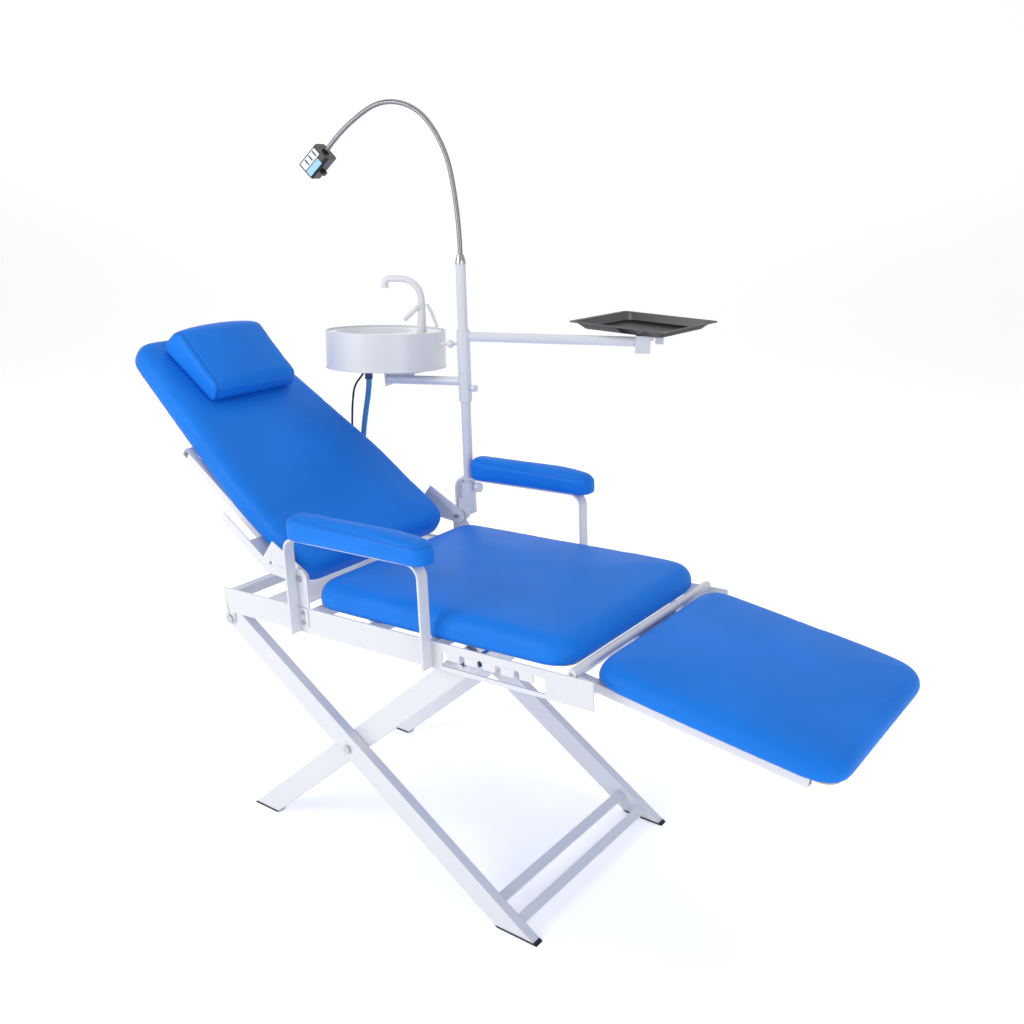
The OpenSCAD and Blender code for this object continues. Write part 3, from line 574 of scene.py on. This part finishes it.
def ring(name, pts, radius, material):
    """A closed cord along pts."""
    n, sides = len(pts), 8
    verts = []
    mid = Vector(pts.mean(0))
    for i in range(n):
        p = Vector(pts[i])
        t = (Vector(pts[(i + 1) % n]) - Vector(pts[i - 1])).normalized()
        u = p - mid
        u = (u - t * u.dot(t)).normalized()
        verts += circle(p, u, t.cross(u), radius, sides)
    return new_mesh(name, verts, skin(n, sides, wrap=True), material)


def seam(name, o, point, normal, body, radius, groove, width):
    """A sewn seam: a shallow groove round the piece along a plane, with a thin cord in it. Sizes in mm."""
    n = np.array(Vector(normal).normalized())
    co = get_co(o)
    d = (co - np.array(point)) @ n
    set_co(o, co - get_normals(o) * (groove * MM * np.exp(-((d / (width * MM)) ** 2)))[:, None])
    cord = ring(name, slice_loop(o, point, normal), radius * MM, piping)
    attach(cord, body)


# Seams round the arm pads, 76 % of the way up and leaning a little more than the pad
SEAM_UP, SEAM_LEAN = 0.76, 0.035
arm_axes = cross_axes(SEAT_TILT)
for side, pad in arms.items():
    loc = get_co(pad) @ arm_axes
    height = loc[:, 2].min() * (1 - SEAM_UP) + loc[:, 2].max() * SEAM_UP
    point = arm_axes @ np.array([loc[:, 0].mean(), loc[:, 1].mean(), height])
    normal = arm_axes @ np.array([SEAM_LEAN, 0, 1.0])
    seam("arm_seam_" + side, pad, point, normal, "seat_frame", 0.55, 0.8, 2.5)


def pillow():
    """Wedge pillow from the CAD wedge, with soft edges, an arched face and piping round its two end panels."""
    node = "head_pillow"
    src = frame["nodes"][node]
    o = bpy.data.objects.new("pillow_soft", src.data.copy())
    scene.collection.objects.link(o)
    o.data.transform(src.matrix_world)
    remesh(o, 3.6 * MM)
    smooth(o, 0.6, 20)

    arch_by = 9 * MM
    co, normals = get_co(o), get_normals(o)
    y = co[:, 1]
    mid = (y.min() + y.max()) / 2
    half = (y.max() - y.min()) / 2
    out = cross_axes(BACK_TILT)[:, 2]
    face = np.clip((normals @ out + 0.15) / 0.6, 0, 1)
    arch = np.clip(1 - np.abs((y - mid) / half) ** 2.4, 0, 1)
    depth = co @ out
    high = np.clip((depth - depth.min()) / 0.02, 0, 1)
    set_co(o, co + normals * (arch_by * face * arch * high)[:, None])
    puff(o, 3, 1.2 * MM, 12)
    smooth(o, 0.5, 4)
    upholster(o, node, "pillow")

    seam_in = 9 * MM
    co = get_co(o)
    y, mid = co[:, 1], co.mean(0)
    for side, edge in (("right", y.min() + seam_in), ("left", y.max() - seam_in)):
        seam("pillow_seam_" + side, o, (mid[0], edge, mid[2]), (0, 1, 0), "pillow", 1.5, 1.6, 5)


pillow()

# ---- hoses ----------------------------------------------------------------------------------------------


def smooth_path(points, per=6):
    """Catmull-Rom through the points."""
    p = [Vector(q) for q in points]
    p = [p[0] * 2 - p[1], *p, p[-1] * 2 - p[-2]]
    out = []
    for a, b, c, d in zip(p, p[1:], p[2:], p[3:]):
        for k in range(per):
            t = k / per
            curve = 2 * b + (c - a) * t + (2 * a - 5 * b + 4 * c - d) * t * t + (3 * b - a - 3 * c + d) * t**3
            out.append(0.5 * curve)
    out.append(p[-2])
    return out


def tube(name, pts, radius_at, material, sides):
    """A swept tube along the points, with flat ends; radius_at says its radius at a point's number."""
    verts = []
    u = (pts[1] - pts[0]).normalized().orthogonal().normalized()
    for i, p in enumerate(pts):
        t = (pts[min(i + 1, len(pts) - 1)] - pts[max(i - 1, 0)]).normalized()
        u = (u - t * u.dot(t)).normalized()
        verts += circle(p, u, t.cross(u), radius_at(i), sides)
    faces = skin(len(pts), sides) + end_caps(len(pts), sides)
    return new_mesh(name, verts, faces, material)


# Middle lines of the hoses in the chair's own frame, in mm
DRAIN = [(-356, 231, 866), (-357, 231, 850), (-362, 231, 820), (-371, 232, 782), (-379, 233, 740),
         (-385, 234, 690), (-388, 235, 640), (-389, 236, 590), (-389, 237, 540), (-388, 238, 490),
         (-387, 239, 440), (-385, 240, 390), (-383, 241, 340), (-382, 242, 290), (-381, 243, 250)]
SUPPLY = [(-369, 236, 903), (-370, 236, 890), (-378, 236, 876), (-390, 237, 863), (-403, 238, 849),
          (-412, 239, 832), (-417, 240, 812), (-420, 240, 790), (-422, 240, 760), (-423, 240, 720),
          (-424, 241, 680), (-424, 241, 640), (-423, 242, 600), (-421, 242, 560), (-419, 243, 520),
          (-417, 243, 480), (-415, 244, 440), (-413, 244, 400), (-412, 245, 360)]
DRAIN_D, SUPPLY_D = 0.013, 0.005
path = smooth_path([at(*p) for p in DRAIN])
drain = tube("drain_hose_soft", path, lambda i: DRAIN_D / 2, hose_pale, 20)
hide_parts("drain_hose")
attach(drain, "basin")
path = smooth_path([at(*p) for p in SUPPLY])
supply = tube("supply_tube_soft", path, lambda i: SUPPLY_D / 2, tube_navy, 14)
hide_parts("supply_tube")
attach(supply, "basin")

# ---- flexible neck of the lamp --------------------------------------------------------------------------

# The neck leaves the pole's top 8 mm up and 1.7 degrees off upright, and bends through these arcs: radius
# in mm, turn in degrees
NECK_START, NECK_LEAN = 8, 1.7
NECK_ARCS = [(901, 10.9), (235, 27.4), (112.6, 79.8), (377, 19.8)]
NECK_HEADING = 195
RIBS = (5.45, 5.35, 4.9, 5.3)


def neck_path(step):
    """Middle line of the neck in mm, in the upright plane it bends in, a point every step."""
    out, x, z, a = [], 0.0, float(NECK_START), math.radians(NECK_LEAN)
    for r, bend in NECK_ARCS:
        n = max(2, int(round(r * math.radians(bend) / step)))
        for k in range(n):
            t = a + math.radians(bend) * k / n
            out.append((x + r * (math.cos(a) - math.cos(t)), z + r * (math.sin(t) - math.sin(a))))
        b = a + math.radians(bend)
        x, z, a = x + r * (math.cos(a) - math.cos(b)), z + r * (math.sin(b) - math.sin(a)), b
    return out + [(x, z)]


base = Vector(joints["neck_swivel"]["pos_m"]) - Vector((0, 0, NECK_START * MM))
head = Vector((math.cos(math.radians(NECK_HEADING)), math.sin(math.radians(NECK_HEADING)), 0))
wound = [base + head * (x * MM) + Vector((0, 0, z * MM)) for x, z in neck_path(0.8)]
neck = tube("gooseneck_wound", wound, lambda i: RIBS[i % len(RIBS)] * MM, flex, 14)
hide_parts("gooseneck")
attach(neck, "neck")

# ---- lamp face ------------------------------------------------------------------------------------------

chrome = Mat("chrome", (128, 131, 136), 0.2, 1.0)
chrome.vary(chrome.noise(120), 0.14, 0.28)
window = Mat("lamp_glow", (112, 172, 200), 0.2)
window.glow((0.35, 0.68, 0.85), 0.2)
window.colour(window.noise(60), 0.8, 1.1)
# The lamp's own axes: its beam leaves the end of the neck 135 degrees off upright
BEAM_TURN = math.radians(135)
lamp_at = wound[-1]
beam = (head * math.sin(BEAM_TURN) + Vector((0, 0, math.cos(BEAM_TURN)))).normalized()
lamp_y = UP.cross(head).normalized()
lamp_x = lamp_y.cross(beam).normalized()


def block(name, x, y, z, material, soft):
    """A box in the lamp's own axes, in mm, with soft edges."""
    verts = [lamp_at + (lamp_x * a + lamp_y * b + beam * c) * MM for a in x for b in y for c in z]
    faces = [(0, 1, 3, 2), (4, 6, 7, 5), (0, 4, 5, 1), (2, 3, 7, 6), (0, 2, 6, 4), (1, 5, 7, 3)]
    o = new_mesh(name, verts, faces, material, smooth=False)
    m = o.modifiers.new("edges", "BEVEL")
    m.width = soft * MM
    m.segments = 2
    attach(o, "neck")


for tag, side in (("right", -1), ("left", 1)):
    # Low end first on both sides, so that the faces point outwards
    flush = sorted((21.9 * side, 23.0 * side))
    proud = sorted((22.4 * side, 23.3 * side))
    block("lamp_plate_" + tag, (-17, 2), flush, (10, 60), chrome, 0.4)
    block("lamp_window_" + tag, (3.5, 18.5), flush, (20, 60), window, 0.4)
    # Each vent slot is a near-black block standing proud of the face: painted shade for the dark inside of the
    # slot
    for k in range(3):
        low = 17 + 13 * k
        block(f"lamp_vent_shade_{tag}_{k}", (-15, -1), proud, (low, low + 3.5), vent_shade, 0.3)

# ---- floor and light ------------------------------------------------------------------------------------

# A white sweep, in metres along the line of sight: flat to 4.2, then a bend of 1.5 up to a wall 8 high
REACH, BEND_AT, BEND, WALL = 9.0, 4.2, 1.5, 8.0
floor_mat = Mat("floor", (247, 247, 248), 0.6)
floor_mat.glow((1, 1, 1), 0.3)
floor_mat.vary(floor_mat.noise(3, 2), 0.55, 0.65)
turns = [math.pi / 2 * k / 8 for k in range(1, 9)]
profile = [(-REACH, 0.0), (BEND_AT, 0.0)]
profile += [(BEND_AT + BEND * math.sin(a), BEND * (1 - math.cos(a))) for a in turns]
profile.append((BEND_AT + BEND, WALL))
away = Vector((-back.x, -back.y, 0)).normalized()
across = Vector((-away.y, away.x, 0)) * REACH
verts = [away * d + side + UP * z for d, z in profile for side in (-across, across)]
faces = [(2 * i, 2 * i + 1, 2 * i + 3, 2 * i + 2) for i in range(len(profile) - 1)]
new_mesh("floor", verts, faces, floor_mat)

world = bpy.data.worlds.new("studio")
scene.world = world
world.use_nodes = True
nodes, links = world.node_tree.nodes, world.node_tree.links
nodes["Background"].inputs["Color"].default_value = (1.0, 1.0, 1.0, 1)
# The camera sees the world as white past the sweep, and the chair is lit by half of that
rays = nodes.new("ShaderNodeLightPath")
level = nodes.new("ShaderNodeMapRange")
level.inputs["To Min"].default_value = 0.5
level.inputs["To Max"].default_value = 1.0
links.new(rays.outputs["Is Camera Ray"], level.inputs["Value"])
links.new(level.outputs["Result"], nodes["Background"].inputs["Strength"])


def area(name, where, size, power, colour=(1, 1, 1)):
    """An area light aimed at the middle of the chair."""
    data = bpy.data.lights.new(name, "AREA")
    data.shape = "RECTANGLE"
    data.size, data.size_y = size
    data.energy = power
    data.color = colour
    o = bpy.data.objects.new(name, data)
    scene.collection.objects.link(o)
    o.location = where
    o.rotation_euler = (Vector((0, 0, 0.7)) - Vector(where)).to_track_quat("-Z", "Y").to_euler()


area("key", (-1.6, -3.2, 1.9), (2.2, 1.8), 66, (1.0, 0.99, 0.97))
area("top", (0.2, 0.4, 3.8), (3.4, 2.8), 26)
area("fill", (3.4, -1.6, 1.4), (1.8, 2.4), 36, (0.95, 0.97, 1.0))
area("rim", (-2.6, 2.4, 2.2), (1.6, 2.2), 6)
scene.view_settings.view_transform = "Standard"
